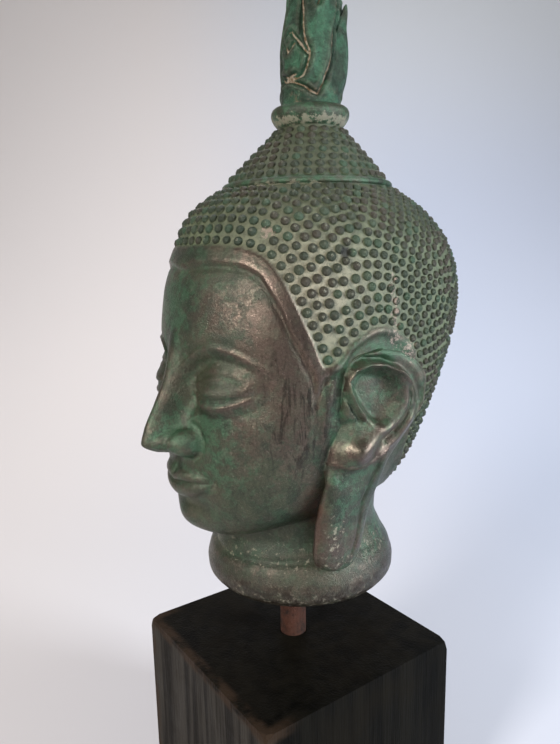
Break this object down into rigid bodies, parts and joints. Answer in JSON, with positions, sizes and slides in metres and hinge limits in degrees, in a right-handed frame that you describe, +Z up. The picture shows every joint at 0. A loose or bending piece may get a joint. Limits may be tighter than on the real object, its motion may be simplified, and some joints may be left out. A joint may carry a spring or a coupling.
{
  "type": "bronze buddha head on a block",
  "caption": "Cast bronze Buddha head with snail-shell curls, long ears and a flame finial, held on an iron rod above a black wooden block.",
  "frame": {"origin": "middle of the wooden block's underside, under the axis of the rod", "axes": "+Z up along the rod, the face looks along -Y and the head's left ear is on +X"},
  "size_m": [0.1232, 0.149, 0.4118],
  "materials": {
    "bronze": "old bronze, dark brown under a mottled green patina, with pale deposit between the curls",
    "green_bronze": "old bronze under an even, deeper green patina with pale lines in the grooves",
    "rusted_iron": "matt red-brown rust",
    "black_wood": "black stain over fine upright grain, worn brown on one chamfer"
  },
  "bodies": {
    "root": {"bronze_head": "bronze", "flame_finial": "green_bronze", "support_rod": "rusted_iron", "plinth_block": "black_wood"}
  },
  "joints": []
}
